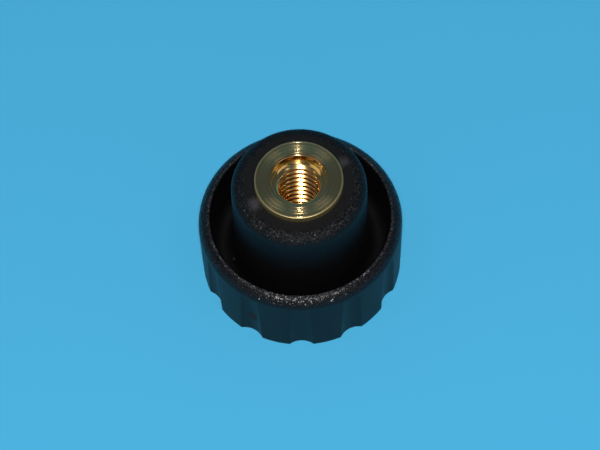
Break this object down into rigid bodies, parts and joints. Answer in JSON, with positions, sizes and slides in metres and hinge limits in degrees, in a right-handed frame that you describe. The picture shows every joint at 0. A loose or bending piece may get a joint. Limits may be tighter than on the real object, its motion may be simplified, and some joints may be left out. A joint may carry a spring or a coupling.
{
  "type": "knurled knob",
  "caption": "Round black plastic knob with a fluted grip, a rounded lip, a hollow round its central boss and a proud brass insert with a blind threaded hole for a screw or stud.",
  "frame": {"origin": "centre of the flat grip face, which the knob stands on", "axes": "+Z along the knob's axis, from the grip face towards the boss and out of the threaded hole's mouth; one flute is centred on -Y"},
  "size_m": [0.025, 0.025, 0.0195],
  "materials": {
    "black_plastic": "satin moulded black plastic with a fine grain on its edges",
    "turned_brass": "bright turned brass with fine concentric tool marks"
  },
  "bodies": {
    "root": {"knob_body": "black_plastic", "threaded_insert": "turned_brass"}
  },
  "joints": []
}
